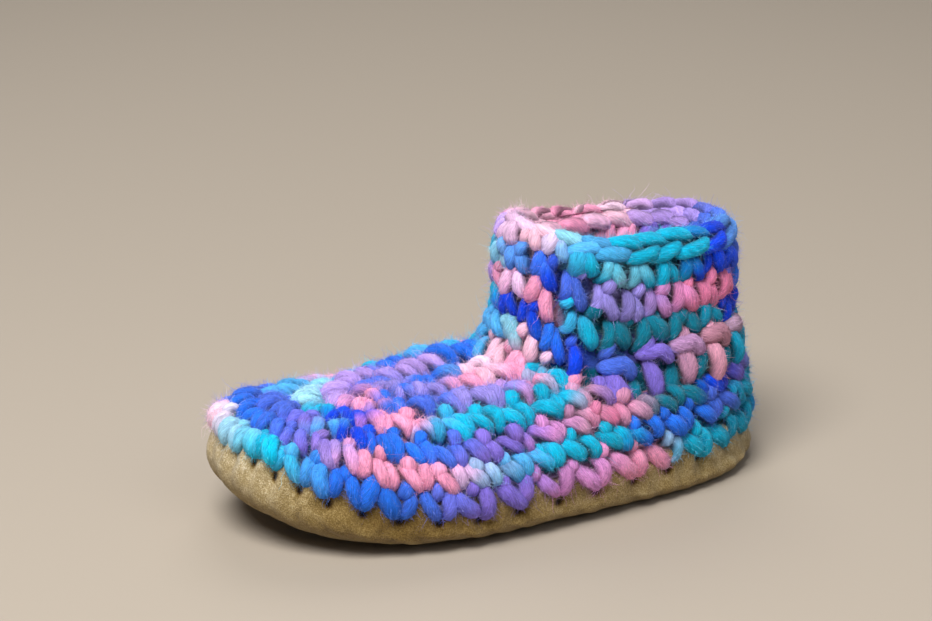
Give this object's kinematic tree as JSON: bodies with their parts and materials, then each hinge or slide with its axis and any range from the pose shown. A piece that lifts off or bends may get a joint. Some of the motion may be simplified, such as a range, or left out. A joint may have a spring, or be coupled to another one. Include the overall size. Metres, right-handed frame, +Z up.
{
  "type": "slipper boot",
  "caption": "Ankle-high child's slipper boot, crocheted in thick variegated wool on a cupped tan suede sole with a felt insole, for the left foot.",
  "frame": {"origin": "on the floor, in the flat bottom of the sole below the front of the ankle", "axes": "+X to the toe, +Y to the outer side of the left foot, +Z up"},
  "size_m": [0.1749, 0.0839, 0.0817],
  "materials": {
    "suede": "napped tan suede",
    "felt": "natural wool felt",
    "wool": "hand-dyed single-ply wool in pinks, violets, blues and teals"
  },
  "bodies": {
    "root": {"sole": "suede", "insole": "felt", "upper": "wool"}
  },
  "joints": []
}
